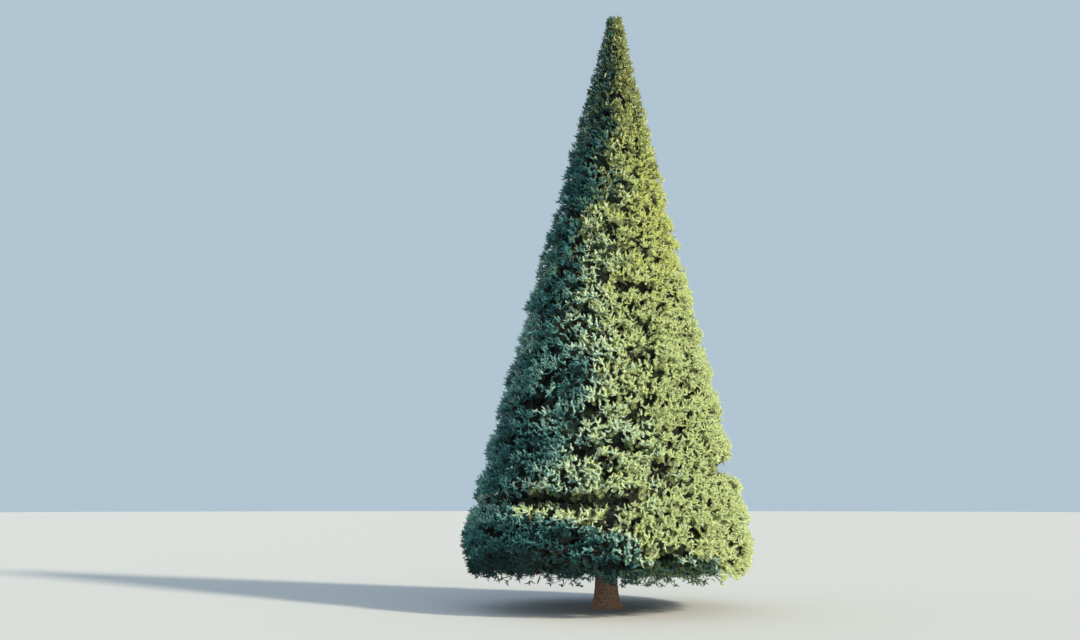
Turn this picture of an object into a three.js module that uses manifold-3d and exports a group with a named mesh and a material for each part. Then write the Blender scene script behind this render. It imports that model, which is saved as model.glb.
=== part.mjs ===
// A tall clipped blue spruce, rooted in level ground.
// Millimetres, +Z up. The origin is the middle of the flat cut under the trunk.
// The side that is seen in the picture faces -Y, and the tree leans a little towards +X.
import * as THREE from 'three';
import { mergeVertices } from 'three/addons/utils/BufferGeometryUtils.js';
import Module from 'manifold-3d';

const wasm = await Module();
wasm.setup();

// Whole tree
const treeHeight = 9000;
const leanAtTip = 220;         // how far the tip stands towards +X
const leanPower = 1.2;         // above 1 the lean grows towards the tip
const clearance = 0.3;         // gap between solids that meet

// Outline of the clipped crown
const tipRadius = 140;
const tipStart = 8800;         // above this the tip rounds over
const sideSlope = 0.253;       // radius gained for each unit of height lost
const widestHeight = 900;
const hemHeight = 470;
const hemTuck = 0.08;          // share of the radius that the hem draws in

// Tiers from the skirt to the tip: the height of each tier's lower edge at the outline, the number of
// masses round the trunk, whether boughs carry them, and how steeply their boughs or stems rise
const tiers = [
  { name: 'skirt', low: hemHeight, masses: 7, boughs: true, rise: -0.08 },
  { name: 'lower', low: 1560, masses: 6, boughs: true, rise: 0.05 },
  { name: 'middle', low: 2720, masses: 6, boughs: true, rise: 0.15 },
  { name: 'waist', low: 3870, masses: 5, boughs: true, rise: 0.25 },
  { name: 'upper', low: 4970, masses: 4, boughs: false, rise: 0.35 },
  { name: 'high', low: 6020, masses: 3, boughs: false, rise: 0.45 },
  { name: 'neck', low: 7030, masses: 2, boughs: false, rise: 0.55 },
  { name: 'tip', low: 7950, masses: 1, boughs: false },
];
const edgeDroop = 0.28;        // fall of the gap between two tiers, outwards
const edgeWave = 45;           // the gaps wander up and down this far
const wavesRound = 3;
const skirtStep = 480;         // the skirt's upper edge stands this much higher on the +X side
const stepFrom = -0.1;         // where that step begins and ends, as the cosine of the angle from +X
const stepTo = 0.75;

// Foliage masses
const shellDepth = 400;        // depth of a core behind its outer face
const sprayReach = 135;        // the sprays stand this far out of the cores
const creaseDepth = 95;        // the cores draw in at their edges
const lumpDepth = 62;          // height of the swellings on a core
const massGap = 50;            // gap between the cores of two masses
const trunkRoom = 70;          // open space between the cores and the trunk
const coreAcross = 5;          // faces of a core round the trunk
const coreUp = 3;              // faces of a core from edge to edge
const sprayMargin = 15;        // the sprays keep this far inside the mass's own space
const spraySink = 60;          // depth of a spray's root in the core
const sprayWidth = 270;
const sprayThickness = 44;
const sprayRise = 165;         // a spray's tip stands this much higher than its root
const spraySpacing = 345;
const spraySwing = 120;        // how far a spray's tip swings to either side
const sprayRoll = 2.2;
const sprayTries = 4;
const tryInset = 0.09;         // each new try moves the spray this share towards the mass's middle
const reachShare = 0.42;       // near the tip the sprays take up this share of the radius
const hemShare = 0.16;         // sprays below this share of the skirt hang instead of rising
const lumpScatter = 0.9;
const firstShare = 0.7548776662;   // steps of the even spread of sprays over a mass
const secondShare = 0.5698402910;
const seedsPerTier = 16;

// The tip's mass stands all round the trunk's leader
const tipSides = 9;
const tipSprays = 12;
const tipSprayFoot = 110;      // the lowest of its sprays stand this much above its edge
const tipSprayTwist = 0.2;
const leaderLength = 260;      // the spray that ends the tree

// Trunk and boughs
const trunkRadius = 165;       // above the root flare
const trunkTipRadius = 12;
const trunkTop = 8560;
const trunkTaperPower = 0.85;
const flareHeight = 330;
const flareFade = 3;           // how fast the flare dies away over that height
const flareSpread = 0.55;      // share by which the roots widen the trunk at the ground
const flareLobes = 5;
const lobeDepth = 0.16;
const trunkSides = 12;
const trunkSteps = 14;
const ringCrowding = 1.6;      // above 1 the rings crowd towards the ground
const boughRadius = 46;
const boughTipRadius = 24;
const boughSides = 5;
const boughSteps = 3;
const boughSag = 70;           // of the longest bough, at its middle
const stemRun = 330;           // length of the bare stem between a bough's tip and its core
const stemSides = 4;
const hubUp = 0.5;             // the stem ends at this share of the core's height
const hubDepth = 190;          // and this far inside its outer face
const twigsPerStem = 2;
const twigSides = 3;
const twigRadius = 15;
const twigTipRadius = 9;
const twigSpread = 0.6;
const twigSink = 60;           // depth of the twigs' ends in the core
const forkShare = 0.12;

const needleGreen = new THREE.MeshStandardMaterial({ color: 0x7d9c8f, roughness: 0.85, metalness: 0 });
const barkBrown = new THREE.MeshStandardMaterial({ color: 0x6d5848, roughness: 0.95, metalness: 0 });

const upwards = new THREE.Vector3(0, 0, 1);
const tree = new THREE.Group();

function seededSequence(seed) {
  let state = (seed * 2654435761) >>> 0;
  return () => {
    state = (Math.imul(state, 1664525) + 1013904223) >>> 0;
    return state / 4294967296;
  };
}

function lerp(from, to, share) {
  return from + (to - from) * share;
}

function axisX(height) {
  return leanAtTip * (Math.max(height, 0) / treeHeight) ** leanPower;
}

function crownPoint(angle, radius, height) {
  return new THREE.Vector3(
    axisX(height) + radius * Math.cos(angle), radius * Math.sin(angle), height);
}

// Radius of the clipped outline at a height
function crownRadius(height) {
  const widest = tipRadius + sideSlope * (tipStart - widestHeight);
  if (height < widestHeight) {
    const tuck = (widestHeight - height) / (widestHeight - hemHeight);
    return widest * (1 - hemTuck * tuck * tuck);
  }
  const side = tipRadius + sideSlope * Math.max(tipStart - height, 0);
  const rounding = Math.min(Math.max((height - tipStart) / (treeHeight - tipStart), 0), 1);
  return side * Math.sqrt(1 - rounding * rounding);
}

// Height of the gap under a tier, at an angle and a distance from the trunk's axis
function edgeHeight(level, angle, radius) {
  const low = tiers[level].low;
  const step = level === 1 ? skirtStep * THREE.MathUtils.smoothstep(Math.cos(angle), stepFrom, stepTo) : 0;
  const wave = level === 0 ? 0 : edgeWave * Math.sin(wavesRound * angle + 2 * level);
  return low + step + wave + edgeDroop * (crownRadius(low) - radius);
}

// Turns a three.js geometry into a solid for cutting and joining
function toSolid(geometry) {
  geometry.deleteAttribute('normal');
  geometry.deleteAttribute('uv');
  const merged = mergeVertices(geometry, 1e-3);
  return new wasm.Manifold(new wasm.Mesh({
    numProp: 3,
    vertProperties: new Float32Array(merged.attributes.position.array),
    triVerts: new Uint32Array(merged.index.array),
  }));
}

// The largest shell alone: this drops loose scraps and fills sealed hollows
function largestShell(solid) {
  const shells = solid.decompose();
  return shells.reduce((best, shell) => (shell.volume() > best.volume() ? shell : best));
}

function addMesh(name, solid, material) {
  const mesh = largestShell(solid).getMesh();
  const geometry = new THREE.BufferGeometry();
  geometry.setAttribute('position', new THREE.BufferAttribute(mesh.vertProperties, 3));
  geometry.setIndex(new THREE.BufferAttribute(mesh.triVerts, 1));
  geometry.computeVertexNormals();
  const part = new THREE.Mesh(geometry, material);
  part.name = name;
  tree.add(part);
}

// A tapering limb: a cylinder whose rings are laid on a curve that doesn't run straight up
function makeLimb(curve, startRadius, endRadius, sides, steps) {
  const geometry = new THREE.CylinderGeometry(1, 1, 1, sides, steps);
  const position = geometry.attributes.position;
  for (let i = 0; i < position.count; i += 1) {
    const share = position.getY(i) + 0.5;
    const turn = Math.atan2(position.getX(i), position.getZ(i));
    const reach = Math.hypot(position.getX(i), position.getZ(i)) * lerp(startRadius, endRadius, share);
    const along = curve.getTangent(share);
    const side = along.clone().cross(upwards).normalize();
    const other = side.clone().cross(along);
    const point = curve.getPoint(share)
      .addScaledVector(side, reach * Math.sin(turn))
      .addScaledVector(other, reach * Math.cos(turn));
    position.setXYZ(i, point.x, point.y, point.z);
  }
  return toSolid(geometry);
}

// Radius of the trunk without its flare
function trunkRadiusAt(height) {
  const share = Math.min(Math.max(height / trunkTop, 0), 1);
  return lerp(trunkTipRadius, trunkRadius, (1 - share) ** trunkTaperPower);
}

// The trunk, grown all over by an offset
function makeTrunk(offset) {
  const geometry = new THREE.CylinderGeometry(1, 1, 1, trunkSides, trunkSteps);
  const position = geometry.attributes.position;
  for (let i = 0; i < position.count; i += 1) {
    const share = position.getY(i) + 0.5;
    const turn = Math.atan2(position.getZ(i), position.getX(i));
    const height = (trunkTop + offset) * share ** ringCrowding;
    const flare = Math.exp(-flareFade * height / flareHeight);
    const lobes = 1 + flare * (flareSpread + lobeDepth * Math.cos(flareLobes * turn));
    const reach = Math.hypot(position.getX(i), position.getZ(i)) * (trunkRadiusAt(height) * lobes + offset);
    position.setXYZ(i, axisX(height) + reach * Math.cos(turn), -reach * Math.sin(turn), height);
  }
  return toSolid(geometry);
}

// One toothed blade: a flat double cone whose rim is moved to the outline of a spray
const bladeOutline = [
  [0, 0], [0.62, -0.45], [0.66, -0.19], [1, 0], [0.66, 0.19], [0.62, 0.45],
];
const bladeMiddle = 0.45;

function bladeFrame(root, tip, roll) {
  const along = tip.clone().sub(root).normalize();
  const sideways = new THREE.Vector3(-along.y, along.x, 0);
  const across = (sideways.length() > 0.01 ? sideways : new THREE.Vector3(1, 0, 0)).normalize();
  across.applyAxisAngle(along, roll);
  return { along, across, out: along.clone().cross(across) };
}

function bladeCorners(root, tip, roll) {
  const length = root.distanceTo(tip);
  const { along, across } = bladeFrame(root, tip, roll);
  return bladeOutline.map(([share, side]) => root.clone()
    .addScaledVector(along, share * length).addScaledVector(across, -side * sprayWidth));
}

function makeSpray(root, tip, roll) {
  const length = root.distanceTo(tip);
  const { along, across, out } = bladeFrame(root, tip, roll);
  const geometry = new THREE.ConeGeometry(1, 1, bladeOutline.length);
  const position = geometry.attributes.position;
  for (let i = 0; i < position.count; i += 1) {
    const onRim = Math.hypot(position.getX(i), position.getZ(i)) > 0.5;
    const turn = Math.atan2(position.getX(i), position.getZ(i)) / (2 * Math.PI);
    const corner = Math.round((1 - turn) * bladeOutline.length) % bladeOutline.length;
    const [share, side] = onRim ? bladeOutline[corner] : [bladeMiddle, 0];
    const lift = onRim ? 0 : Math.sign(position.getY(i)) * sprayThickness / 2;
    const point = root.clone()
      .addScaledVector(along, share * length)
      .addScaledVector(across, -side * sprayWidth)
      .addScaledVector(out, lift);
    position.setXYZ(i, point.x, point.y, point.z);
  }
  return toSolid(geometry);
}

// The part of a quadratic curve between two shares of it
function cutCurve(curve, from, to) {
  const start = curve.getPoint(from);
  const end = curve.getPoint(to);
  const middle = curve.v0.clone().multiplyScalar((1 - from) * (1 - to))
    .addScaledVector(curve.v1, from * (1 - to) + to * (1 - from))
    .addScaledVector(curve.v2, from * to);
  return new THREE.QuadraticBezierCurve3(start, middle, end);
}

// Height of a mass at the crown's outline, from its lower edge (up 0) to its upper one (up 1)
function outlineHeight(mass, angle, up) {
  const low = edgeHeight(mass.level, angle, crownRadius(tiers[mass.level].low));
  const high = edgeHeight(mass.level + 1, angle, crownRadius(tiers[mass.level + 1].low));
  return lerp(low, high, up);
}

// A place in a mass: across runs from -1 to 1 round the trunk, depth is measured in from the outline
function massPoint(mass, across, up, depth) {
  const angle = mass.angle + across * mass.halfAngle;
  const radius = crownRadius(outlineHeight(mass, angle, up)) - depth;
  const low = edgeHeight(mass.level, angle, radius);
  const high = edgeHeight(mass.level + 1, angle, radius);
  return crownPoint(angle, radius, lerp(low, high, up));
}

function reachAt(height) {
  return Math.min(sprayReach, reachShare * crownRadius(height));
}

// Depth of a core's inner face, which also stays clear of the trunk
function innerDepth(mass, angle, up) {
  const height = outlineHeight(mass, angle, up);
  const room = crownRadius(height) - trunkRadiusAt(height) - trunkRoom;
  return Math.min(reachAt(height) + shellDepth, room);
}

// A mass's core: a box bent to the crown's side, with its edges drawn in and swellings on its outer face
function makeCore(mass, random) {
  const geometry = new THREE.BoxGeometry(2, 1, 1, coreAcross, 1, coreUp);
  const position = geometry.attributes.position;
  const radius = crownRadius(outlineHeight(mass, mass.angle, 0.5));
  const acrossGap = massGap / 2 / (mass.halfAngle * radius);
  const upGap = massGap / 2 / (outlineHeight(mass, mass.angle, 1) - outlineHeight(mass, mass.angle, 0));
  const bumps = Array.from({ length: (coreAcross + 1) * (coreUp + 1) }, (_, place) => {
    const row = Math.floor(place / (coreAcross + 1));
    const side = (place + row) % 2 === 0 ? 1 : -1;
    return lumpDepth * (side + lumpScatter * (random() - 0.5));
  });
  for (let i = 0; i < position.count; i += 1) {
    const across = position.getX(i) * (1 - acrossGap);
    const up = lerp(mass.level === 0 ? 0 : upGap, 1 - upGap, position.getZ(i) + 0.5);
    const column = Math.round((position.getX(i) + 1) / 2 * coreAcross);
    const row = Math.round((position.getZ(i) + 0.5) * coreUp);
    const onEdge = column % coreAcross === 0 || row % coreUp === 0;
    const angle = mass.angle + across * mass.halfAngle;
    const reach = reachAt(outlineHeight(mass, angle, up));
    const crease = onEdge ? creaseDepth * reach / sprayReach : bumps[row * (coreAcross + 1) + column];
    const depth = position.getY(i) < 0 ? reach + crease : innerDepth(mass, angle, up);
    const point = massPoint(mass, across, up, depth);
    position.setXYZ(i, point.x, point.y, point.z);
  }
  return toSolid(geometry);
}

// True where a point lies inside the mass's own space, by a margin
function staysInside(mass, point, margin) {
  const x = point.x - axisX(point.z);
  const radius = Math.hypot(x, point.y);
  const turn = Math.atan2(point.y, x) - mass.angle;
  const side = Math.abs(Math.atan2(Math.sin(turn), Math.cos(turn)));
  const angle = mass.angle + turn;
  const clearOfSides = Math.sin(Math.min(mass.halfAngle - side, Math.PI / 2)) * radius > margin;
  const clearBelow = mass.level === 0 || point.z - edgeHeight(mass.level, angle, radius) > margin;
  const clearAbove = edgeHeight(mass.level + 1, angle, radius) - point.z > margin;
  return clearOfSides && clearBelow && clearAbove;
}

// A spray that stands out of the core at a place and reaches the crown's outline
function growSpray(mass, across, up, random) {
  const root = massPoint(mass, across, up, reachAt(outlineHeight(mass, mass.angle, up)) + spraySink);
  const atHem = mass.level === 0 && up < hemShare;
  const rise = atHem ? -sprayRise * random() / 2 : sprayRise * (0.6 + 0.8 * random());
  const tipHeight = Math.max(root.z + rise, hemHeight);
  const swing = spraySwing * (random() - 0.5) / crownRadius(root.z);
  const turn = Math.atan2(root.y, root.x - axisX(root.z)) + swing;
  const tip = crownPoint(turn, crownRadius(tipHeight), tipHeight);
  const roll = sprayRoll * (random() - 0.5);
  const fits = bladeCorners(root, tip, roll).every((corner) => staysInside(mass, corner, sprayMargin));
  return fits ? makeSpray(root, tip, roll) : null;
}

// All the sprays of a mass, spread evenly over its face by a sequence that can be carried on
function growSprays(mass, random) {
  const sprays = [];
  const width = 2 * mass.halfAngle * crownRadius(outlineHeight(mass, mass.angle, 0.5));
  const height = outlineHeight(mass, mass.angle, 1) - outlineHeight(mass, mass.angle, 0);
  const count = Math.round(width * height / spraySpacing ** 2);
  for (let number = 1; number <= count; number += 1) {
    const across = 2 * ((number * firstShare + mass.number * secondShare) % 1) - 1;
    const up = (number * secondShare + mass.level * firstShare) % 1;
    for (let attempt = 0; attempt < sprayTries; attempt += 1) {
      const inset = 1 - attempt * tryInset;
      const spray = growSpray(mass, across * inset, 0.5 + (up - 0.5) * inset, random);
      if (spray) {
        sprays.push(spray);
        break;
      }
    }
  }
  return sprays;
}

// The line from the trunk's axis to the middle of a mass's core, on which its bough and stem lie
function makeSpine(mass) {
  const hub = massPoint(mass, 0, hubUp, reachAt(outlineHeight(mass, mass.angle, hubUp)) + hubDepth);
  const radius = Math.hypot(hub.x - axisX(hub.z), hub.y);
  const rootHeight = hub.z - tiers[mass.level].rise * radius;
  const root = crownPoint(mass.angle, 0, rootHeight);
  const middle = root.clone().lerp(hub, 0.5);
  middle.z -= boughSag * radius / crownRadius(widestHeight);
  return new THREE.QuadraticBezierCurve3(root, middle, hub);
}

// The stem from a bough's tip, or from the trunk, to its core, with the twigs that branch from it
function makeStem(mass, spine, from, random) {
  const stem = cutCurve(spine, from, 1);
  const limbs = [makeLimb(stem, boughTipRadius, twigRadius, stemSides, 1)];
  for (let number = 0; number < twigsPerStem; number += 1) {
    const across = twigSpread * (2 * (number + random()) / twigsPerStem - 1);
    const up = hubUp + twigSpread * (random() - 0.5);
    const angle = mass.angle + across * mass.halfAngle;
    const tip = massPoint(mass, across, up, innerDepth(mass, angle, up) - twigSink);
    const twig = new THREE.LineCurve3(stem.getPoint(forkShare), tip);
    limbs.push(makeLimb(twig, twigRadius, twigTipRadius, twigSides, 1));
  }
  return limbs;
}

// Core of the tip, and the spray that ends the tree
function makeTip(level, random) {
  const geometry = new THREE.CylinderGeometry(1, 1, 1, tipSides, coreUp);
  const position = geometry.attributes.position;
  const top = treeHeight - leaderLength + spraySink;
  for (let i = 0; i < position.count; i += 1) {
    const share = position.getY(i) + 0.5;
    const reach = Math.hypot(position.getX(i), position.getZ(i));
    const turn = Math.atan2(position.getZ(i), position.getX(i));
    const low = edgeHeight(level, -turn, crownRadius(tiers[level].low)) + massGap / 2;
    const height = lerp(low, top, share);
    const drawn = share === 0 ? creaseDepth / 2 : 0;
    const radius = reach * (crownRadius(height) - reachAt(height) - drawn);
    const droop = share === 0 ? edgeDroop * (crownRadius(low) - radius) : 0;
    const point = crownPoint(-turn, radius, height + droop);
    position.setXYZ(i, point.x, point.y, point.z);
  }
  const leader = makeSpray(
    crownPoint(0, 0, treeHeight - leaderLength), crownPoint(0, 0, treeHeight), random() * Math.PI);
  return [toSolid(geometry), leader];
}

// The other sprays of the tip, in a rising spiral
function growTipSprays(level, random) {
  const sprays = [];
  for (let number = 1; number <= tipSprays; number += 1) {
    const height = lerp(tiers[level].low + tipSprayFoot, treeHeight - leaderLength, number / tipSprays);
    const turn = 2 * Math.PI * number * firstShare;
    const radius = Math.max(crownRadius(height) - reachAt(height) - spraySink, 0);
    const tipHeight = Math.min(height + sprayRise, treeHeight - leaderLength / 2);
    const root = crownPoint(turn, radius, height);
    const tip = crownPoint(turn + tipSprayTwist * (random() - 0.5), crownRadius(tipHeight), tipHeight);
    sprays.push(makeSpray(root, tip, sprayRoll * (random() - 0.5)));
  }
  return sprays;
}

// Share of the spine at which a bough ends, so that the bare stem has its length before the core
function boughEnd(mass, spine) {
  const bare = crownRadius(spine.v2.z) - innerDepth(mass, mass.angle, hubUp) - stemRun;
  return bare / Math.hypot(spine.v2.x - axisX(spine.v2.z), spine.v2.y);
}

const grownTrunk = makeTrunk(clearance);

function addFoliage(name, solids) {
  addMesh(name, wasm.Manifold.union(solids).subtract(grownTrunk), needleGreen);
}

function addTier(tier, level) {
  for (let number = 0; number < tier.masses; number += 1) {
    const random = seededSequence(level * seedsPerTier + number + 1);
    const angle = 2 * Math.PI * (number / tier.masses + level * firstShare);
    const mass = { level, number, angle, halfAngle: Math.PI / tier.masses };
    const spine = makeSpine(mass);
    let stemStart = 0;
    if (tier.boughs) {
      const end = boughEnd(mass, spine);
      const limb = makeLimb(cutCurve(spine, 0, end), boughRadius, boughTipRadius, boughSides, boughSteps);
      addMesh(`${tier.name}_bough_${number + 1}`, limb.subtract(grownTrunk), barkBrown);
      stemStart = end + clearance / spine.getLength();
    }
    const solids = [
      makeCore(mass, random),
      ...makeStem(mass, spine, stemStart, random),
      ...growSprays(mass, random),
    ];
    addFoliage(`${tier.name}_foliage_${number + 1}`, solids);
  }
}

function addTip(level) {
  const random = seededSequence(level * seedsPerTier + 1);
  addFoliage('tip_foliage', [...makeTip(level, random), ...growTipSprays(level, random)]);
}

addMesh('trunk', makeTrunk(0), barkBrown);
tiers.slice(0, -1).forEach(addTier);
addTip(tiers.length - 1);

export default tree;
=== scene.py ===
import math

import bmesh
import bpy
import numpy as np
from mathutils import Matrix, Vector, noise


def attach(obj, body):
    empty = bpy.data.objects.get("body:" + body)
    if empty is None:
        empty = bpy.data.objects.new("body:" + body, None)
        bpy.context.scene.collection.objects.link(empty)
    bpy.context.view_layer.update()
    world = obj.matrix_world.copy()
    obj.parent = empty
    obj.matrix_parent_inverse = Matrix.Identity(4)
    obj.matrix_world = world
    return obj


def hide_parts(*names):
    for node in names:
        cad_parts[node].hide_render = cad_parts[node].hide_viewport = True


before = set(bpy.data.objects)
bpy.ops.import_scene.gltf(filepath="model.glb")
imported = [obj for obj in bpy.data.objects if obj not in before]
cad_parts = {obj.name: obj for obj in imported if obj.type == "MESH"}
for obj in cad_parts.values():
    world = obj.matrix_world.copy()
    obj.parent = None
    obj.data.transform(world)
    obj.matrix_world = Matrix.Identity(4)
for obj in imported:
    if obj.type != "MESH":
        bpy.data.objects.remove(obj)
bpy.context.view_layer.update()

draw = np.random.default_rng(41)
noise.seed_set(7)
print("frame loaded:", len(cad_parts), "nodes")

# the crown, by the rule of the solids, in metres

crown = {
    "height": 9.0,
    "lean": 0.22,            # the tip stands this far towards +X
    "leanPower": 1.2,
    "tipRadius": 0.14,
    "tipStart": 8.8,         # above this the tip rounds over
    "slope": 0.253,
    "widest": 0.9,
    "hem": 0.47,
    "hemTuck": 0.08,
    "edgeDroop": 0.28,       # the gaps between tiers fall outwards
    "edgeWave": 0.045,
    "wavesRound": 3,
    "skirtStep": 0.48,       # the skirt stands higher on the +X side
    "stepFrom": -0.1,
    "stepTo": 0.75,
    "firstShare": 0.7548776662,    # the even spread of sprays over a mass
    "secondShare": 0.5698402910,
    "spacing": 0.345,
    "hubDepth": 0.325,       # a mass's bough or stem ends this deep behind its face
    "sag": 0.07,
    "shortOf": 8.9,          # places are kept inside the outline up to this height
}

# name, lower edge at the outline, masses round the trunk, boughs in the solids, rise, pieces of needles
tiers = [
    ("skirt", 0.47, 7, True, -0.08, 3),
    ("lower", 1.56, 6, True, 0.05, 2),
    ("middle", 2.72, 6, True, 0.15, 2),
    ("waist", 3.87, 5, True, 0.25, 1),
    ("upper", 4.97, 4, False, 0.35, 1),
    ("high", 6.02, 3, False, 0.45, 1),
    ("neck", 7.03, 2, False, 0.55, 1),
    ("tip", 7.95, 1, False, 0.55, 1),
]
lowEdges = [tier[1] for tier in tiers] + [crown["height"]]
tipLevel = len(tiers) - 1


def axisX(z):
    return crown["lean"] * (np.maximum(z, 0) / crown["height"]) ** crown["leanPower"]


def crownRadius(z):
    z = np.asarray(z, dtype=float)
    widest = crown["tipRadius"] + crown["slope"] * (crown["tipStart"] - crown["widest"])
    tuck = np.clip((crown["widest"] - z) / (crown["widest"] - crown["hem"]), 0, None)
    side = crown["tipRadius"] + crown["slope"] * np.maximum(crown["tipStart"] - z, 0)
    rounding = np.clip((z - crown["tipStart"]) / (crown["height"] - crown["tipStart"]), 0, 1)
    skirt = widest * (1 - crown["hemTuck"] * tuck ** 2)
    return np.where(z < crown["widest"], skirt, side * np.sqrt(1 - rounding ** 2))


def crownLimit(z):
    return crownRadius(np.minimum(z, crown["shortOf"]))


def crownPoint(angle, radius, z):
    x = axisX(z) + radius * np.cos(angle)
    return np.stack(np.broadcast_arrays(x, radius * np.sin(angle), z), axis=-1)


def outFrom(angle):
    return np.stack([np.cos(angle), np.sin(angle), 0 * angle], axis=-1)


def roundFrom(angle):
    return np.stack([-np.sin(angle), np.cos(angle), 0 * angle], axis=-1)


def wrapped(degrees):
    return (degrees + 180) % 360 - 180


def smoothstep(x, low, high):
    share = np.clip((x - low) / (high - low), 0, 1)
    return share * share * (3 - 2 * share)


def noiseAt(points, scale=1.0):
    return np.array([noise.noise(Vector(point) * scale) for point in points])


def edgeHeight(level, angle, radius):
    height = lowEdges[level] + 0 * angle
    if level == 1:
        height = height + crown["skirtStep"] * smoothstep(np.cos(angle), crown["stepFrom"], crown["stepTo"])
    if 0 < level <= tipLevel:
        height = height + crown["edgeWave"] * np.sin(crown["wavesRound"] * angle + 2 * level)
    if level <= tipLevel:
        height = height + crown["edgeDroop"] * (crownRadius(lowEdges[level]) - radius)
    return height


def outlineHeight(level, angle, up):
    low = edgeHeight(level, angle, crownRadius(lowEdges[level]))
    high = edgeHeight(level + 1, angle, crownRadius(lowEdges[level + 1]))
    return low + (high - low) * up


def massPoint(mass, across, up, depth):
    angle = mass["angle"] + across * mass["half"]
    radius = np.maximum(crownRadius(outlineHeight(mass["level"], angle, up)) - depth, 0.02)
    low = edgeHeight(mass["level"], angle, radius)
    high = edgeHeight(mass["level"] + 1, angle, radius)
    return crownPoint(angle, radius, low + (high - low) * up)


def makeSpine(mass):
    room = float(crownRadius(outlineHeight(mass["level"], mass["angle"], 0.5)))
    hub = massPoint(mass, 0.0, 0.5, min(crown["hubDepth"], 0.9 * room))
    radius = math.hypot(hub[0] - axisX(hub[2]), hub[1])
    root = crownPoint(mass["angle"], 0.0, hub[2] - mass["rise"] * radius)
    middle = (root + hub) / 2
    middle[2] -= crown["sag"] * radius / float(crownRadius(crown["widest"]))
    return np.stack([root, middle, hub])


def listMasses():
    masses = []
    for level, (name, low, count, boughs, rise, groups) in enumerate(tiers):
        for number in range(count):
            mass = {
                "level": level,
                "number": number,
                "tier": name,
                "angle": 2 * math.pi * (number / count + level * crown["firstShare"]),
                "half": math.pi / count,
                "rise": rise,
                "node": f"{name}_foliage_{number + 1}" if count > 1 else f"{name}_foliage",
                "bough": f"{name}_bough_{number + 1}" if boughs else None,
                "group": f"{name}_{number * groups // count + 1}" if groups > 1 else name,
            }
            mass["spine"] = makeSpine(mass)
            masses.append(mass)
    return masses


masses = listMasses()


def tierNodes(level):
    return [mass["node"] for mass in masses if mass["level"] == level]


# materials

# base colour and roughness of each tone, plain because they are dealt out by shoot; most carry painted light
# and shade: the range from the shaded side to the sunny one, and lit and shaded copies of the sprays
needleTones = {
    "needleInner": ((0.006, 0.009, 0.007), 0.90),
    "needleUnder": ((0.010, 0.040, 0.040), 0.80),
    "needleUnderMiddle": ((0.055, 0.096, 0.044), 0.80),
    "needleUnderSunny": ((0.220, 0.265, 0.100), 0.80),
    "needleInnerSunny": ((0.016, 0.026, 0.011), 0.90),
    "needleNight": ((0.012, 0.066, 0.074), 0.70),
    "needleDeep": ((0.024, 0.118, 0.122), 0.65),
    "needleTeal": ((0.088, 0.245, 0.238), 0.60),
    "needleBlue": ((0.245, 0.435, 0.380), 0.60),
    "needleSilver": ((0.525, 0.675, 0.540), 0.58),
    "needleSage": ((0.545, 0.660, 0.440), 0.58),
    "needleGold": ((0.535, 0.620, 0.278), 0.60),
    "needlePale": ((0.505, 0.585, 0.300), 0.58),
    "needleStraw": ((0.515, 0.570, 0.195), 0.60),
    "needleOlive": ((0.205, 0.230, 0.076), 0.60),
    "needleDead": ((0.100, 0.072, 0.048), 0.85),
}
twigTones = {
    "twigDark": ((0.030, 0.023, 0.018), 0.90),
    "twigBrown": ((0.034, 0.031, 0.021), 0.85),
}


def plainMaterial(name, colour, roughness):
    material = bpy.data.materials.new(name)
    material.use_nodes = True
    shader = material.node_tree.nodes["Principled BSDF"]
    shader.inputs["Base Color"].default_value = (*colour, 1)
    shader.inputs["Roughness"].default_value = roughness
    shader.inputs["Specular IOR Level"].default_value = 0.2
    return material


tone = {name: slot for slot, name in enumerate(needleTones)}
toneMaterials = [plainMaterial(name, *needleTones[name]) for name in needleTones]
twigMaterials = [plainMaterial(name, *twigTones[name]) for name in twigTones]

bark = {
    "plateScale": 34.0,
    "fineScale": 120.0,
    "crack": (0.120, 0.085, 0.062),
    "plate": (0.350, 0.255, 0.185),
    "light": (0.520, 0.410, 0.310),
    "rust": (0.460, 0.270, 0.150),
    "crackWidth": 0.16,
    "squeeze": 0.55,         # plates are taller than wide
    "plateEdge": 0.35,       # the share of a plate that slopes to its crack
    "bump": 0.004,
}


def addNode(nodes, kind, *values):
    node = nodes.new("ShaderNode" + kind)
    for name, value in values:
        node.inputs[name].default_value = value
    return node


def addRamp(nodes, *colours):
    ramp = nodes.new("ShaderNodeValToRGB")
    for element, colour in zip(ramp.color_ramp.elements, colours):
        element.color = (*colour, 1)
    return ramp


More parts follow.
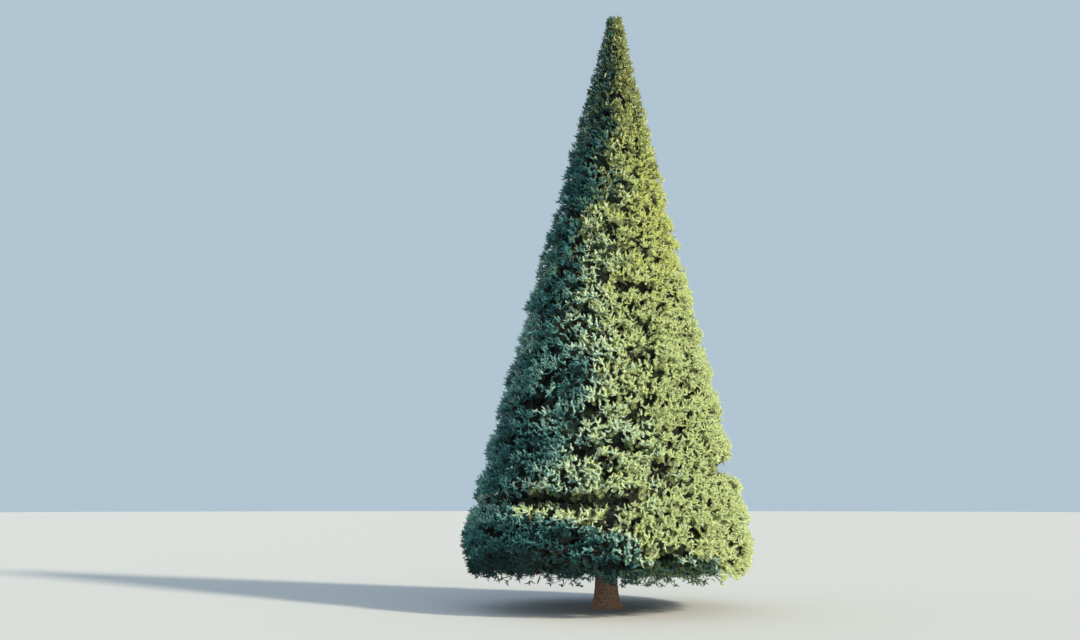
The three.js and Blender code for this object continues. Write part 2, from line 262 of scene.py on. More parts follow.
def barkMaterial():
    material = bpy.data.materials.new("spruceBark")
    material.use_nodes = True
    nodes, links = material.node_tree.nodes, material.node_tree.links
    shader = nodes["Principled BSDF"]
    shader.inputs["Roughness"].default_value = 0.9
    shader.inputs["Specular IOR Level"].default_value = 0.2
    where = addNode(nodes, "TexCoord")
    squeeze = addNode(nodes, "Mapping", ("Scale", (1.0, 1.0, bark["squeeze"])))
    plates = addNode(nodes, "TexVoronoi", ("Scale", bark["plateScale"]))
    plates.feature = "DISTANCE_TO_EDGE"
    cells = addNode(nodes, "TexVoronoi", ("Scale", bark["plateScale"]))
    grain = addNode(nodes, "TexNoise", ("Scale", bark["fineScale"]), ("Detail", 6))
    ramp = addRamp(nodes, bark["crack"], bark["plate"])
    ramp.color_ramp.elements[1].position = bark["crackWidth"]
    tint = addRamp(nodes, bark["light"], bark["rust"])
    blend = addNode(nodes, "Mix")
    blend.data_type = "RGBA"
    blend.blend_type = "OVERLAY"
    bump = addNode(nodes, "Bump", ("Strength", 0.5), ("Distance", bark["bump"]))
    for node, output, target, socket in (
        (where, "Object", squeeze, "Vector"),
        (squeeze, "Vector", plates, "Vector"),
        (squeeze, "Vector", cells, "Vector"),
        (squeeze, "Vector", grain, "Vector"),
        (plates, "Distance", ramp, "Fac"),
        (cells, "Color", tint, "Fac"),
        (grain, "Fac", blend, "Factor"),
        (ramp, "Color", blend, "A"),
        (tint, "Color", blend, "B"),
        (blend, "Result", shader, "Base Color"),
        (grain, "Fac", bump, "Height"),
        (bump, "Normal", shader, "Normal"),
    ):
        links.new(node.outputs[output], target.inputs[socket])
    return material


spruceBark = barkMaterial()
print("materials made")

# shapes that are copied, and the arrays that join them


def only(kind, geom):
    return [part for part in geom if isinstance(part, kind)]


def takeShape(bm):
    bmesh.ops.triangulate(bm, faces=bm.faces[:])
    bm.verts.index_update()
    points = np.array([vert.co[:] for vert in bm.verts])
    faces = np.array([[vert.index for vert in face.verts] for face in bm.faces])
    tones = np.array([face.material_index for face in bm.faces])
    bm.free()
    order = np.lexsort(np.sort(faces, axis=1).T)    # the operators can leave faces in another order each run
    return points, faces[order], tones[order]


def makePiece(name, points, faces, slots, materials, slot, smooth=False):
    mesh = bpy.data.meshes.new(name)
    mesh.vertices.add(len(points))
    mesh.vertices.foreach_set("co", points.astype(np.float32).ravel())
    mesh.loops.add(faces.size)
    mesh.loops.foreach_set("vertex_index", faces.astype(np.int32).ravel())
    mesh.polygons.add(len(faces))
    mesh.polygons.foreach_set("loop_start", np.arange(0, faces.size, 3, dtype=np.int32))
    for material in materials:
        mesh.materials.append(material)
    mesh.polygons.foreach_set("material_index", slots.astype(np.int32))
    mesh.update(calc_edges=True)
    mesh.polygons.foreach_set("use_smooth", np.full(len(faces), smooth))
    piece = bpy.data.objects.new(name, mesh)
    bpy.context.collection.objects.link(piece)
    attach(piece, "root")
    print(name, len(faces))
    return piece


def joined(parts):
    start, points, faces, slots = 0, [], [], []
    for somePoints, someFaces, someSlots in parts:
        points.append(somePoints)
        faces.append(someFaces + start)
        slots.append(someSlots)
        start += len(somePoints)
    return np.concatenate(points), np.concatenate(faces), np.concatenate(slots)


def unit(v):
    return v / np.maximum(np.linalg.norm(v, axis=-1, keepdims=True), 1e-9)


def turnedFrames(along, roll, size):
    away = np.where(np.abs(along[:, 2:]) < 0.9, [[0.0, 0.0, 1.0]], [[1.0, 0.0, 0.0]])
    side = unit(np.cross(along, away))
    other = np.cross(along, side)
    cos, sin = np.cos(roll)[:, None], np.sin(roll)[:, None]
    axes = np.stack([side * cos + other * sin, other * cos - side * sin, along], axis=1)
    return axes * size[:, None, None]


def copyShape(shape, origins, axes, palettes):
    points, faces, tones = shape
    placed = origins[:, None, :] + points[None] @ axes
    repeated = faces[None] + len(points) * np.arange(len(origins))[:, None, None]
    return placed.reshape(-1, 3), repeated.reshape(-1, 3), palettes[:, tones].reshape(-1)


def tubeShape(sides, steps):
    bm = bmesh.new()
    ring = bmesh.ops.create_circle(bm, cap_ends=False, segments=sides, radius=1)["verts"]
    edges = bm.edges[:]
    for step in range(steps):
        grown = bmesh.ops.extrude_edge_only(bm, edges=edges)["geom"]
        edges = only(bmesh.types.BMEdge, grown)
        bmesh.ops.translate(bm, verts=only(bmesh.types.BMVert, grown), vec=(0, 0, 1 / steps))
    bmesh.ops.holes_fill(bm, edges=bm.edges[:], sides=sides)
    bmesh.ops.recalc_face_normals(bm, faces=bm.faces[:])
    return takeShape(bm)


def bendPoint(curves, share):
    first, middle, last = curves[:, 0:1], curves[:, 1:2], curves[:, 2:3]
    return (1 - share) ** 2 * first + 2 * share * (1 - share) * middle + share ** 2 * last


def bendTubes(shape, curves, startRadii, endRadii, slot):
    points, faces, tones = shape
    startRadii = np.full(len(curves), startRadii)
    endRadii = np.full(len(curves), endRadii)
    share = points[:, 2][None, :, None]
    first, middle, last = curves[:, 0:1], curves[:, 1:2], curves[:, 2:3]
    centres = bendPoint(curves, share)
    along = unit((1 - share) * (middle - first) + share * (last - middle))
    chord = unit(last - first)
    away = np.where(np.abs(chord[..., 2:]) < 0.9, [[[0.0, 0.0, 1.0]]], [[[1.0, 0.0, 0.0]]])
    side = unit(np.cross(along, away))
    other = np.cross(side, along)
    radii = (startRadii[:, None] + (endRadii - startRadii)[:, None] * share[..., 0])[..., None]
    placed = centres + radii * (points[None, :, 0:1] * side + points[None, :, 1:2] * -other)
    repeated = faces[None] + len(points) * np.arange(len(curves))[:, None, None]
    return placed.reshape(-1, 3), repeated.reshape(-1, 3), np.full(len(curves) * len(faces), slot)


# one shoot: needles on a short twig, those near its foot in an older colour

# length, needles, their length, and their lean from the twig at its foot and at its end, in degrees
shootKinds = [
    (0.057, 17, 0.028, 58, 32),
    (0.066, 19, 0.029, 52, 28),
    (0.050, 16, 0.027, 64, 36),
    (0.061, 18, 0.027, 54, 34),
    (0.054, 17, 0.030, 58, 28),
]
needle = {
    "width": 0.0110,         # wider than life, as they are fewer
    "widestAt": 0.25,
    "goldenTurn": 2.39996,
    "youngFrom": 0.45,       # needles beyond this share of the shoot have the younger colour
    "coreRadius": 0.0125,    # the needles' feet crowd round the twig
    "coreFrom": 0.12,
}


def makeShoot(kind, seed):
    length, count, needleLength, footLean, endLean = shootKinds[kind]
    chance = np.random.default_rng(seed)
    bm = bmesh.new()
    right = bm.verts.new((needle["width"] / 2, 0, needle["widestAt"] * needleLength))
    tip = bm.verts.new((0, 0, needleLength))
    left = bm.verts.new((-needle["width"] / 2, 0, 0))
    first = [right, tip, left, bm.faces.new((right, tip, left))]
    for number in range(count):
        share = (number + 0.6) / count
        lean = math.radians(footLean + (endLean - footLean) * share ** 1.5 + chance.uniform(-9, 9))
        turn = number * needle["goldenTurn"] + chance.uniform(-0.3, 0.3)
        copy = bmesh.ops.duplicate(bm, geom=first)["geom"]
        verts = only(bmesh.types.BMVert, copy)
        for face in only(bmesh.types.BMFace, copy):
            face.material_index = 1 if share > needle["youngFrom"] else 0
        grown = Matrix.Scale(chance.uniform(0.85, 1.12) * (1 - 0.25 * share), 4)
        tilt = Matrix.Rotation(-lean, 4, "X")
        spin = Matrix.Rotation(turn, 4, "Z")
        lift = Matrix.Translation((0, 0, share * length))
        bmesh.ops.transform(bm, matrix=lift @ spin @ tilt @ grown, verts=verts)
    bmesh.ops.delete(bm, geom=first[:3], context="VERTS")
    before = set(bm.faces)
    radius, depth = needle["coreRadius"], length * (1 - needle["coreFrom"])
    core = bmesh.ops.create_cone(bm, cap_ends=False, segments=3, radius1=radius, radius2=0, depth=depth)
    bmesh.ops.translate(bm, verts=core["verts"], vec=(0, 0, length * (1 + needle["coreFrom"]) / 2))
    for face in set(bm.faces) - before:
        face.material_index = 2
    return takeShape(bm)


# flat sprays, each a fishbone of side twigs: dark inside as painted shade, broad deepest, and older right
# under the shoots

fan = {"length": 0.30, "pairs": 10, "reach": 0.13, "width": 0.021, "lean": 50, "bow": 0.03}
broadFan = {"length": 0.38, "pairs": 7, "reach": 0.17, "width": 0.062, "lean": 50, "bow": 0.035}
underSpray = {"length": 0.17, "pairs": 8, "reach": 0.058, "width": 0.0115, "lean": 48, "bow": 0.012}


def makeFan(form, seed):
    chance = np.random.default_rng(seed)
    bm = bmesh.new()
    for number in range(form["pairs"]):
        share = number / form["pairs"]
        reach = form["reach"] * (1 - 0.55 * share) * chance.uniform(0.85, 1.1)
        for side in (-1, 1):
            verts = [
                bm.verts.new((form["width"] / 2, 0, 0)),
                bm.verts.new((0, chance.uniform(-0.13, 0.13) * reach, reach)),
                bm.verts.new((-form["width"] / 2, 0, 0)),
            ]
            bm.faces.new(verts)
            swing = Matrix.Rotation(side * math.radians(form["lean"] + chance.uniform(-10, 10)), 4, "Y")
            lift = Matrix.Translation((0, form["bow"] * math.sin(math.pi * share), share * form["length"]))
            bmesh.ops.transform(bm, matrix=lift @ swing, verts=verts)
    return takeShape(bm)


shoots = [makeShoot(kind, 100 + kind) for kind in range(len(shootKinds))]
fans = [makeFan(fan, 200 + kind) for kind in range(3)]
broadFans = [makeFan(broadFan, 250 + kind) for kind in range(3)]
underSprays = [makeFan(underSpray, 300 + kind) for kind in range(3)]
print("shapes made:", [len(shape[1]) for shape in shoots + fans + broadFans + underSprays])

# lumps of foliage, one at each spray's place in the solids, and the clumps of shoots that cover them

growth = {
    "clumpSpacing": 0.0665,
    "tipSpacing": 0.054,     # the last tier's clumps stand closer
    "scatter": 0.032,
    "warp": (0.09, 1.7),     # the even spread is bent by this much, in waves of about 1 / this
    "lumpFlat": 1.45,        # lumps are wider than tall
    "base": 0.018,           # twigs end this deep behind the outline
    "swell": 0.045,          # the face swells and sinks by this much
    "swellScale": 6.5,
    "lumpSizes": (0.75, 1.35),
    "recess": 0.07,          # some lumps stand this much further in
    "crease": 0.125,         # depth of the folds between lumps
    "overlap": 0.075,        # each lump stands out this far over the next one down
    "lumpHeight": 0.29,
    "pocket": 0.17,          # dark pockets where the boughs part
    "hollow": 0.31,
    "pocketMark": 1.15,      # the mark of each kind of hole; past 1 more of its clumps are left out
    "hollowMark": 1.25,
    "gapMark": 1.4,
    "bareShares": (0.15, 0.65),    # clumps left out of folds, and on top of that out of holes
    "pocketScale": (2.6, 5.2),
    "pocketFrom": (0.30, 0.46),
    "creaseFrom": 0.76,
    "rowSpacing": 0.5,       # the yearly whorls
    "rowPull": 0.05,
    "skirtGap": (0.34, 0.145),     # depth and half height of the gap over the skirt
    "shelf": (0.06, 0.26, 0.14),   # the skirt stands out by this, this far under it, with this half height
    "gapFall": 0.06,
    "gapFallSunny": 0.07,
    "deadInGap": 0.12,
    "fullTurn": -30,         # towards this side the crown is fuller, with shallower folds
    "fullFrom": (0.7, 0.95),
    "fullHeight": (3.4, 4.8),
    "fullness": 0.5,
    "tierGap": (0.07, 0.06),
    "tierOpen": 0.36,
    "tipLumps": 12,
    "highest": 8.93,
    "shootReach": 0.085,
    "hemReach": (0.03, 0.09),     # shoots hang this far below the hem at most
    "proudShare": 0.14,      # this share of the shoots may stand out of the outline by "proud"
    "proud": (0.06, 0.115),
    "level": (0.02, 0.08),
}

# how much of the gap over the skirt is left open: degrees round from +X, share
gapShares = [
    (-180, 0.2), (-168, 0.25), (-152, 0.75), (-128, 1.0), (-84, 1.0), (-78, 0.45), (-50, 0.2), (-36, 0.6),
    (-20, 0.9), (20, 0.75), (45, 0.3), (75, 0.8), (100, 1.0), (125, 0.4), (150, 0.85), (180, 0.2),
]

# open hollows in the side that is seen: degrees round from +X, height, half width and half height
hollows = [
    (-109, 7.27, 0.16, 0.10), (-72, 6.68, 0.09, 0.09), (-107, 6.43, 0.15, 0.13), (-65, 6.25, 0.09, 0.10),
    (-79, 6.10, 0.09, 0.08), (-92, 5.82, 0.11, 0.09), (-57, 5.70, 0.11, 0.09), (-77, 5.67, 0.10, 0.09),
    (-94, 5.39, 0.17, 0.14), (-78, 5.48, 0.10, 0.09), (-103, 5.09, 0.10, 0.09), (-98, 4.67, 0.12, 0.22),
    (-83, 4.53, 0.19, 0.12), (-67, 4.48, 0.17, 0.09), (-112, 4.16, 0.18, 0.10), (-81, 4.06, 0.12, 0.08),
    (-72, 3.97, 0.16, 0.11), (-95, 3.78, 0.10, 0.09), (-126, 3.58, 0.14, 0.11), (-140, 3.55, 0.11, 0.09),
    (-81, 3.45, 0.09, 0.11), (-72, 3.48, 0.17, 0.09), (-64, 3.29, 0.11, 0.08), (-49, 3.09, 0.14, 0.08),
    (-128, 3.06, 0.11, 0.11), (-111, 3.06, 0.10, 0.09), (-137, 2.87, 0.34, 0.13), (-89, 2.87, 0.11, 0.07),
    (-73, 2.92, 0.11, 0.09), (-80, 2.65, 0.11, 0.14), (-65, 2.47, 0.12, 0.08), (-55, 2.43, 0.10, 0.08),
    (-110, 2.42, 0.15, 0.08), (-144, 2.37, 0.16, 0.11), (-90, 2.34, 0.13, 0.10), (-84, 2.23, 0.14, 0.10),
    (-64, 2.24, 0.13, 0.10), (-104, 2.14, 0.26, 0.12), (-94, 2.02, 0.13, 0.10), (-69, 1.96, 0.25, 0.17),
    (-134, 1.95, 0.14, 0.09), (-79, 1.62, 0.12, 0.09), (-93, 1.27, 0.16, 0.11), (-57, 1.13, 0.15, 0.09),
    (-69, 0.83, 0.22, 0.13),
]


def spreadPlaces(mass, spacing, least):
    level = mass["level"]
    width = 2 * mass["half"] * float(crownRadius(outlineHeight(level, mass["angle"], 0.5)))
    height = float(outlineHeight(level, mass["angle"], 1.0) - outlineHeight(level, mass["angle"], 0.0))
    number = np.arange(1, max(round(width * height / spacing ** 2), least) + 1)
    across = 2 * ((number * crown["firstShare"] + mass["number"] * crown["secondShare"]) % 1) - 1
    up = (number * crown["secondShare"] + level * crown["firstShare"]) % 1
    return across, up


def pullToRows(angle, z):
    return z - growth["rowPull"] * np.sin(2 * math.pi * z / growth["rowSpacing"] + 0.8 * np.sin(3 * angle))


def growClumps():
    found, lumpRows = [], []
    for index, mass in enumerate(masses):
        level = mass["level"]
        isTip = level == tipLevel
        across, up = spreadPlaces(mass, crown["spacing"], growth["tipLumps"] if isTip else 1)
        lumpAngle = mass["angle"] + across * mass["half"]
        lumpZ = pullToRows(lumpAngle, outlineHeight(level, lumpAngle, up))
        size = draw.uniform(*growth["lumpSizes"], len(across))
        recess = growth["recess"] * draw.random(len(across)) ** 1.5
        base = sum(len(rows[0]) for rows in lumpRows)
        lumpRows.append((lumpAngle, lumpZ, np.full(len(across), index), recess))
        across, up = spreadPlaces(mass, growth["tipSpacing" if isTip else "clumpSpacing"], 1)
        angle = mass["angle"] + across * mass["half"]
        z = outlineHeight(level, angle, up)
        room = np.maximum(crownRadius(z), 0.1)
        bend, waves = growth["warp"]
        warp = np.array([noise.noise_vector(Vector(point) * waves) for point in crownPoint(angle, room, z)])
        angle = angle + (bend * warp[:, 0] + draw.normal(0, growth["scatter"], len(across))) / room
        z = z + bend * warp[:, 1] + draw.normal(0, growth["scatter"], len(across))
        radius = crownRadius(z)
        turn = angle[:, None] - lumpAngle[None]
        offsetX = np.arctan2(np.sin(turn), np.cos(turn)) * radius[:, None]
        offsetZ = z[:, None] - lumpZ[None]
        far = np.hypot(offsetX, growth["lumpFlat"] * offsetZ) / size[None]
        order = np.argsort(far, axis=1)
        nearest, second = order[:, 0], order[:, min(1, far.shape[1] - 1)]
        rows = np.arange(len(z))
        ratio = far[rows, nearest] / np.maximum(far[rows, second], 1e-6)
        crease = smoothstep(ratio, growth["creaseFrom"], 1.0)
        towards = np.cos(angle - math.radians(growth["fullTurn"]))
        full = smoothstep(towards, *growth["fullFrom"]) * (1 - smoothstep(z, *growth["fullHeight"]))
        full = 1 - growth["fullness"] * full
        crease = crease * full
        scale = np.clip(radius / 0.9, 0.25, 1)
        step = np.clip(2 * offsetZ[rows, nearest] / (growth["lumpHeight"] * size[nearest]), -1, 1)
        depth = (recess[nearest] + growth["crease"] * crease + growth["overlap"] * step / 2) * scale
        places = crownPoint(angle, radius, z) * np.array(growth["pocketScale"])[[0, 0, 1]]
        pocket = smoothstep(noiseAt(places), *growth["pocketFrom"])
        pocket = pocket * np.clip(radius / 0.6 - 0.4, 0, 1) * full
        depth += growth["pocket"] * pocket * scale
        crease = np.maximum(crease, growth["pocketMark"] * pocket)
        inGap = np.zeros(len(z))
        for edge in (level, level + 1):
            if 0 < edge <= tipLevel:
                deep, half = growth["skirtGap"] if edge == 1 else growth["tierGap"]
                fall = growth["gapFall"] + growth["gapFallSunny"] * np.clip(np.cos(angle), 0, 1) * (edge == 1)
                over = z + fall - edgeHeight(edge, angle, radius)
                near = np.clip(1 - np.abs(over) / half, 0, 1)
                openness = growth["tierOpen"]
                if edge == 1:
                    openness = np.interp(wrapped(np.degrees(angle)), *zip(*gapShares))
                    near = np.clip(1 - np.abs(over) / (half * (0.55 + 0.6 * openness)), 0, 1)
                    deep = deep * openness
                    out, below, shelfHalf = growth["shelf"]
                    depth -= out * openness * smoothstep(1 - np.abs(over + below) / shelfHalf, 0, 1)
                    inGap = smoothstep(near, 0.1, 0.6) * openness
                depth += deep * scale * smoothstep(near, 0.0, 0.75)
                crease = np.maximum(crease, smoothstep(near, 0.1, 0.8) * growth["gapMark"] * openness)
        for turnAt, zAt, halfWidth, halfHeight in hollows:
            turn = np.angle(np.exp(1j * (angle - math.radians(turnAt)))) * radius
            inside = np.clip(1.1 - np.hypot(turn / halfWidth, (z - zAt) / halfHeight), 0, 1)
            depth += growth["hollow"] * scale * smoothstep(inside, 0, 0.6)
            crease = np.maximum(crease, growth["hollowMark"] * smoothstep(inside, 0, 0.5))
        found.append({
            "mass": np.full(len(z), index), "lump": base + nearest, "angle": angle, "z": z,
            "depth": depth, "crease": crease, "inGap": inGap,
            "offsetX": offsetX[rows, nearest], "offsetZ": offsetZ[rows, nearest],
        })
    clumps = {name: np.concatenate([part[name] for part in found]) for name in found[0]}
    inFold, inHole = growth["bareShares"]
    share = inFold * smoothstep(clumps["crease"], 0.6, 1.0) + inHole * smoothstep(clumps["crease"], 1.0, 1.3)
    clumps["bare"] = draw.random(len(clumps["z"])) < share
    clumps["crease"] = np.minimum(clumps["crease"], 1)
    lumps = [np.concatenate([rows[part] for rows in lumpRows]) for part in range(4)]
    return clumps, lumps


clumps, (lumpAngle, lumpZ, lumpMass, lumpRecess) = growClumps()
clumpCount, lumpCount = len(clumps["z"]), len(lumpZ)
levels = np.array([mass["level"] for mass in masses])
clumpLevel, lumpLevel = levels[clumps["mass"]], levels[lumpMass]
print("lumps:", lumpCount, "clumps:", clumpCount)


clumpAim = {
    "hemSlope": -0.12,
    "hangFrom": 0.78,        # below this height clumps hang, fully so "hangOver" further down
    "hangOver": 0.3,
    "hangLift": -0.35,
    "lift": 0.3,
    "tilt": 2.0,             # they lean away from the middle of their lump
    "scatter": 0.15,
    "uprightFrom": (8.78, 8.95),
}


def clumpFrames():
    angle, z = clumps["angle"], clumps["z"]
    slopeOut = np.where(z < crown["widest"], clumpAim["hemSlope"], crown["slope"])
    outward = unit(np.stack([np.cos(angle), np.sin(angle), slopeOut], axis=-1))
    around = roundFrom(angle)
    upward = np.cross(outward, around)
    hang = np.clip((clumpAim["hangFrom"] - z) / clumpAim["hangOver"], 0, 1)
    tilt = clumpAim["tilt"] / np.clip(crownRadius(z) / 0.5, 0.7, 1.3)
    lift = np.where(hang > 0, clumpAim["hangLift"] * hang, clumpAim["lift"])
    sideways = around * (tilt * clumps["offsetX"])[:, None] + upward * (tilt * clumps["offsetZ"])[:, None]
    raised = outward + sideways + np.array([0.0, 0.0, 1.0]) * lift[:, None]
    along = unit(raised + draw.normal(0, clumpAim["scatter"], (clumpCount, 3)))
    topward = smoothstep(z, *clumpAim["uprightFrom"])[:, None]
    along = unit(along * (1 - topward) + np.array([0.0, 0.0, 1.0]) * topward)
    thin = np.clip(crownRadius(z) / 0.8, 0.4, 1)
    face = crownPoint(angle, crownRadius(z), z)
    swell = noiseAt(face, growth["swellScale"])
    depth = clumps["depth"] + (growth["base"] + growth["swell"] * (0.5 - 1.2 * swell)) * thin
    return crownPoint(angle, np.maximum(crownLimit(z) - depth, 0.01), np.minimum(z, growth["highest"])), along


clumpPlace, clumpDir = clumpFrames()

# each clump is a twig's end with a few shoots, whose lean is in degrees

clumpForm = {
    "laterals": 2,
    "lean": (38, 84),
    "drop": 0.035,
    "thinned": 0.03,
}


def growShoots():
    twigs = np.flatnonzero(~clumps["bare"])
    number, rows = len(twigs), 1 + clumpForm["laterals"]
    lean = np.radians(draw.uniform(*clumpForm["lean"], (number, rows)))
    lean[:, 0] = np.radians(draw.uniform(0, clumpForm["lean"][0], number))
    turn = 2 * math.pi * np.arange(rows)[None] / clumpForm["laterals"] + draw.uniform(0, 6.3, (number, 1))
    turn = turn + draw.uniform(-0.7, 0.7, (number, rows))
    axes = turnedFrames(clumpDir[twigs], np.zeros(number), np.ones(number))
    local = np.stack([np.sin(lean) * np.cos(turn), np.sin(lean) * np.sin(turn), np.cos(lean)], axis=-1)
    along = unit(local @ axes + np.array([0.0, 0.0, 0.1]))
    back = draw.uniform(0.0, clumpForm["drop"], (number, rows, 1))
    back[:, 0] = 0
    foot = clumpPlace[twigs][:, None, :] - back * clumpDir[twigs][:, None, :]
    owner = np.repeat(twigs, rows)
    kept = draw.random(len(owner)) > clumpForm["thinned"]
    return foot.reshape(-1, 3)[kept], along.reshape(-1, 3)[kept], owner[kept]


shootFoot, shootDir, shootClump = growShoots()
twigClump = np.flatnonzero(~clumps["bare"])


def trimToOutline(foot, along, size):
    end = foot + along * (growth["shootReach"] * size)[:, None]
    centre = axisX(end[:, 2])
    radius = np.hypot(end[:, 0] - centre, end[:, 1])
    number = len(foot)
    isProud = draw.random(number) < growth["proudShare"]
    proud = np.where(isProud, draw.uniform(*growth["proud"], number), draw.uniform(*growth["level"], number))
    proud *= np.clip(radius / 0.8, 0.5, 1) * np.clip((2.6 - radius) / 0.9, 0.4, 1)
    over = np.maximum(radius - crownLimit(end[:, 2]) - proud, 0)
    angle = np.arctan2(end[:, 1], end[:, 0] - centre)
    low = crown["hem"] - draw.uniform(*growth["hemReach"], number)
    moved = foot - over[:, None] * outFrom(angle)
    moved[:, 2] += np.maximum(low - end[:, 2], 0)
    return moved


shootSize = draw.uniform(0.85, 1.17, len(shootFoot))
shootSize *= np.clip(0.7 + 0.3 * crownRadius(shootFoot[:, 2]) / 0.8, 0.7, 1)
shootFoot = trimToOutline(shootFoot, shootDir, shootSize)
total = len(shootFoot)
print("shoots:", total)

# the range of the tones, from painted shade on the side away from the sun to painted sunlight on the sunny
# side

toneNames = ("Night", "Deep", "Teal", "Blue", "Silver", "Sage", "Gold", "Pale")
toneRange = np.array([tone["needle" + name] for name in toneNames])

# degrees round from +X and place along the range of painted light and shade, for the lower crown and for its
# top
toneTurns = [
    (-180, 2.0), (-163, 1.6), (-148, 1.1), (-136, 1.0), (-128, 1.1), (-119, 2.1), (-110, 3.8), (-100, 4.6),
    (-89, 5.3), (-80, 5.9), (-70, 6.3), (-50, 6.5), (-32, 7.1), (0, 7.1), (30, 6.1), (60, 4.4), (90, 3.3),
    (120, 2.4), (150, 1.9), (180, 2.0),
]
topTurns = [
    (-180, 1.2), (-150, 0.4), (-135, 0.1), (-124, 0.2), (-113, 1.4), (-102, 2.9), (-90, 4.2), (-80, 5.4),
    (-60, 6.3), (-20, 6.8), (0, 6.7), (30, 5.9), (60, 4.4), (90, 3.3), (120, 2.0), (150, 1.2), (180, 1.2),
]

# degrees round from +X and how far under the skirt's upper edge the painted sunlight reaches, with painted
# shade below
ridgeHeights = [
    (-180, 0.0), (-139, 0.0), (-132, 0.28), (-116, 0.30), (-107, 0.30), (-95, 0.36), (-83, 0.48), (-73, 2.0),
    (180, 2.0),
]

# degrees round from +X and how deep the painted shade on the hem is
hemShares = [
    (-180, 1.0), (-90, 1.0), (-80, 1.5), (-62, 2.0), (-52, 1.7), (-41, 0.0), (50, 0.0), (110, 0.6),
    (180, 1.0),
]

dealing = {
    "lumpMood": 0.4,
    "clumpMood": 0.3,
    "shootMood": 0.3,
    "wobble": (26, 1.5),     # the edge of the light wanders by this many degrees, in waves of about 1 / this
    "sunTurn": -20,
    "sunGain": 0.9,          # painted sunlight: shoots that point at the sun are lighter
    "sunAim": (0.73, -0.49, 0.47),
    "topFrom": (4.5, 6.5),   # heights between which the second list takes over
    "topMood": 2.6,          # further up the light falls on single shoots
    "topMoodFrom": (6.2, 7.4),
    "oliveShare": 0.8,
    "oliveFrom": (5.2, 8.3),
    "skirtShade": 3.2,       # painted shade: the skirt stays blue towards -X, under a ridge of painted sunlight
    "ridgeTone": 5.4,
    "rimGain": 1.0,          # the skirt's painted shade is lighter along its upper edge
    "rimHeight": (0.25, 0.5),
    "hemShade": 4.5,
    "hemHeight": (0.68, 0.92),
    "hemWander": 0.012,      # metres up or down per degree of wobble
    "darkBelow": -0.8,       # painted shade: shoots further down the range take the darkest shaded tone of the older sprays
    "warmFrom": (3.6, 5.6),  # above these heights each tone gives way to a warmer one
    "darkOliveShare": 0.6,   # painted shade: of the dark shoots at the top and along the sunny hem
    "darkOliveFrom": (6.0, 8.0),
    "hemSunny": (0.3, 0.6),
    "foldShade": 0.55,        # painted shade: shoots in folds are darker
    "upLight": 0.4,           # painted light: shoots that point up are lighter
    "deadShare": 0.004,
}


def dealPalettes():
    wander, scale = dealing["wobble"]
    wobble = wander * noiseAt(clumpPlace, scale)
    turn = wrapped(np.degrees(clumps["angle"]) + wobble)
    high = smoothstep(clumps["z"], *dealing["topFrom"])
    place = (1 - high) * np.interp(turn, *zip(*toneTurns)) + high * np.interp(turn, *zip(*topTurns))
    # painted shade in the folds between lumps
    place -= dealing["foldShade"] * clumps["crease"] * smoothstep(place, 1, 4)
    place += draw.normal(0, dealing["lumpMood"], lumpCount)[clumps["lump"]]
    place += draw.normal(0, dealing["clumpMood"], clumpCount)
    # painted sunlight on the skirt's ridge and painted shade under it, lighter along its upper edge
    underGap = edgeHeight(1, clumps["angle"], crownRadius(clumps["z"])) - clumps["z"]
    plainTurn = wrapped(np.degrees(clumps["angle"]))
    ridge = np.interp(plainTurn, *zip(*ridgeHeights))
    shaded = (clumpLevel == 0) * smoothstep(underGap, ridge - 0.05, ridge + 0.05)
    lit = (clumpLevel == 0) * smoothstep(ridge - underGap, -0.05, 0.05) * (ridge < 0.4)
    place = np.maximum(place, dealing["ridgeTone"] * lit)
    place -= dealing["skirtShade"] * shaded * smoothstep(place, 1, 4)
    place += dealing["rimGain"] * shaded * (1 - smoothstep(underGap, *dealing["rimHeight"]))
    # painted shade along the hem
    aboveHem = smoothstep(clumps["z"] + dealing["hemWander"] * wobble, *dealing["hemHeight"])
    atHem = np.interp(plainTurn, *zip(*hemShares)) * (1 - aboveHem)
    place -= dealing["hemShade"] * atHem
    clumpTone = place
    single = 1 + dealing["topMood"] * smoothstep(clumps["z"], *dealing["topMoodFrom"])[shootClump]
    place = place[shootClump] + draw.normal(0, dealing["shootMood"], total) * single
    # painted light on shoots that point up
    place = place + dealing["upLight"] * shootDir[:, 2]
    # painted sunlight on shoots that point at the sun
    place += dealing["sunGain"] * (shootDir @ np.array(dealing["sunAim"]) - 0.35) * smoothstep(place, 2, 4)
    older = np.clip(np.round(place - 0.5), 0, len(toneRange) - 1).astype(int)
    younger = np.clip(np.round(place + 0.35), 0, len(toneRange) - 1).astype(int)
    chosen = np.stack([toneRange[older], toneRange[younger], toneRange[older]], axis=1)
    shootZ = clumps["z"][shootClump]
    olive = dealing["oliveShare"] * smoothstep(shootZ, *dealing["oliveFrom"]) * smoothstep(place, 2.4, 3.4)
    chosen[draw.random(total) < olive] = tone["needleOlive"]
    warmer = np.arange(len(needleTones))
    for cool, warm in warmerTones:
        warmer[tone["needle" + cool]] = tone["needle" + warm]
    isWarm = draw.random(total) < smoothstep(shootZ, *dealing["warmFrom"])
    chosen[isWarm] = warmer[chosen[isWarm]]
    # the deepest painted shade takes the older sprays' shaded tone
    chosen[place < dealing["darkBelow"]] = tone["needleUnder"]
    # painted shade in dark olive at the top and along the sunny hem
    towards = np.cos(clumps["angle"] - math.radians(dealing["sunTurn"]))
    hemSunny = atHem * smoothstep(towards, *dealing["hemSunny"])
    darkOlive = np.maximum(smoothstep(clumps["z"], *dealing["darkOliveFrom"]), hemSunny)[shootClump]
    isOlive = (place < 3.2) & (draw.random(total) < dealing["darkOliveShare"] * darkOlive)
    chosen[isOlive] = tone["needleUnderMiddle"]
    dead = dealing["deadShare"] + growth["deadInGap"] * clumps["inGap"][shootClump]
    chosen[draw.random(total) < dead] = tone["needleDead"]
    return chosen, clumpTone


